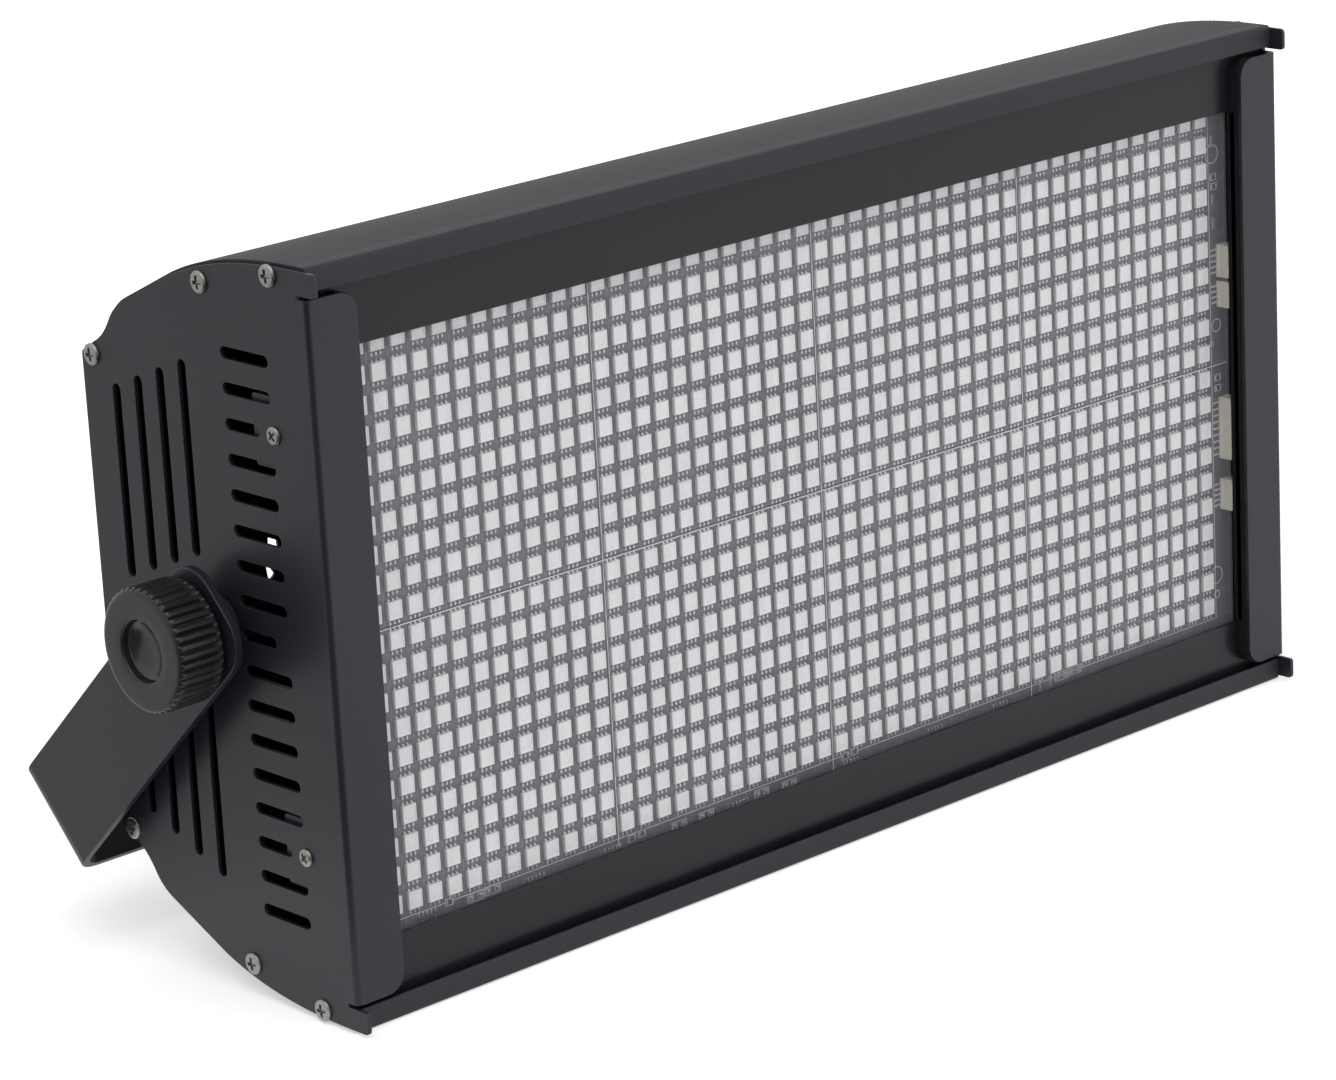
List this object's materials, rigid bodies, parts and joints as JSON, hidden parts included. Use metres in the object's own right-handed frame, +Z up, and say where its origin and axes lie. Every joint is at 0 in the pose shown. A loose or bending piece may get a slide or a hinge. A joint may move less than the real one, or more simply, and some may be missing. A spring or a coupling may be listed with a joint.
{
  "type": "led panel strobe light",
  "caption": "Flat panel strobe light: housing of end plates and profiles with a window of small LEDs, tilting in a yoke with clamping knobs.",
  "frame": {"origin": "centre of the clamp hole on the outer face of the yoke's cross-bar", "axes": "+X along the panel to its right end as seen from the rear, +Y from the window to the rear, +Z up with the window upright"},
  "size_m": [0.524, 0.1667, 0.254],
  "materials": {
    "black_metal": "satin black paint",
    "black_plastic": "satin",
    "foam": "matt foam",
    "steel": "bright",
    "clear_plastic": "clear and glossy",
    "led_board": "dark board with white LEDs",
    "aluminium": "mill finish",
    "green_board": "green board",
    "display_glass": "dark red and glossy"
  },
  "bodies": {
    "yoke": {"yoke": "black_metal"},
    "housing": {"board_carrier": "black_metal", "left_end_plate": "black_metal", "right_end_plate": "black_metal", "upper_profile": "black_metal", "lower_profile": "black_metal", "upper_trim": "black_metal", "lower_trim": "black_metal", "rear_panel": "black_metal", "left_foam_strip": "foam", "right_foam_strip": "foam", "left_spacer": "black_plastic", "right_spacer": "black_plastic", "left_fan_frame": "black_plastic", "right_fan_frame": "black_plastic", "power_inlet": "black_plastic", "power_outlet": "black_plastic", "data_inlet": "black_plastic", "data_outlet": "black_plastic", "fuse_holder": "black_plastic", "left_pivot_nut": "steel", "right_pivot_nut": "steel", "safety_eye": "steel", "left_screw_upper_front": "steel", "left_screw_upper_crown": "steel", "left_screw_upper_rear": "steel", "left_screw_upper_carrier": "steel", "left_screw_lower_front": "steel", "left_screw_lower_crown": "steel", "left_screw_lower_rear": "steel", "left_screw_lower_carrier": "steel", "right_screw_upper_front": "steel", "right_screw_upper_crown": "steel", "right_screw_upper_rear": "steel", "right_screw_upper_carrier": "steel", "right_screw_lower_front": "steel", "right_screw_lower_crown": "steel", "right_screw_lower_rear": "steel", "right_screw_lower_carrier": "steel", "front_cover": "clear_plastic", "led_board_row_1_column_1": "led_board", "led_board_row_1_column_2": "led_board", "led_board_row_1_column_3": "led_board", "led_board_row_1_column_4": "led_board", "led_board_row_2_column_1": "led_board", "led_board_row_2_column_2": "led_board", "led_board_row_2_column_3": "led_board", "led_board_row_2_column_4": "led_board", "power_supply": "aluminium", "control_board": "green_board", "display": "display_glass"},
    "left_knob": {"left_knob": "black_plastic"},
    "right_knob": {"right_knob": "black_plastic"},
    "left_fan_rotor": {"left_fan_rotor": "black_plastic"},
    "right_fan_rotor": {"right_fan_rotor": "black_plastic"},
    "fuse_cap": {"fuse_cap": "black_plastic"},
    "menu_button_1": {"menu_button_1": "black_plastic"},
    "menu_button_2": {"menu_button_2": "black_plastic"},
    "menu_button_3": {"menu_button_3": "black_plastic"},
    "menu_button_4": {"menu_button_4": "black_plastic"}
  },
  "joints": [
    {"name": "tilt", "type": "hinge", "parent": "yoke", "child": "housing", "pos_m": [0, -0.09133, 0.08607], "axis": [1, 0, 0], "range_deg": [-115, 30]},
    {"name": "left_knob_turn", "type": "hinge", "parent": "housing", "child": "left_knob", "pos_m": [-0.25, -0.09133, 0.08607], "axis": [-1, 0, 0], "range_deg": [0, 360]},
    {"name": "right_knob_turn", "type": "hinge", "parent": "housing", "child": "right_knob", "pos_m": [0.25, -0.09133, 0.08607], "axis": [1, 0, 0], "range_deg": [0, 360]},
    {"name": "menu_button_1_press", "type": "slide", "parent": "housing", "child": "menu_button_1", "axis": [0, -1, 0], "range_m": [0, 0.001], "stiffness_N_per_m": 800},
    {"name": "menu_button_2_press", "type": "slide", "parent": "housing", "child": "menu_button_2", "axis": [0, -1, 0], "range_m": [0, 0.001], "stiffness_N_per_m": 800},
    {"name": "menu_button_3_press", "type": "slide", "parent": "housing", "child": "menu_button_3", "axis": [0, -1, 0], "range_m": [0, 0.001], "stiffness_N_per_m": 800},
    {"name": "menu_button_4_press", "type": "slide", "parent": "housing", "child": "menu_button_4", "axis": [0, -1, 0], "range_m": [0, 0.001], "stiffness_N_per_m": 800},
    {"name": "left_fan_spin", "type": "hinge", "parent": "housing", "child": "left_fan_rotor", "pos_m": [-0.14605, -0.03833, 0.08607], "axis": [0, 1, 0], "continuous": true},
    {"name": "right_fan_spin", "type": "hinge", "parent": "housing", "child": "right_fan_rotor", "pos_m": [0.14605, -0.03833, 0.08607], "axis": [0, 1, 0], "continuous": true},
    {"name": "fuse_cap_turn", "type": "hinge", "parent": "housing", "child": "fuse_cap", "pos_m": [0, -0.02533, 0.07203], "axis": [0, 1, 0], "range_deg": [0, 90]}
  ]
}
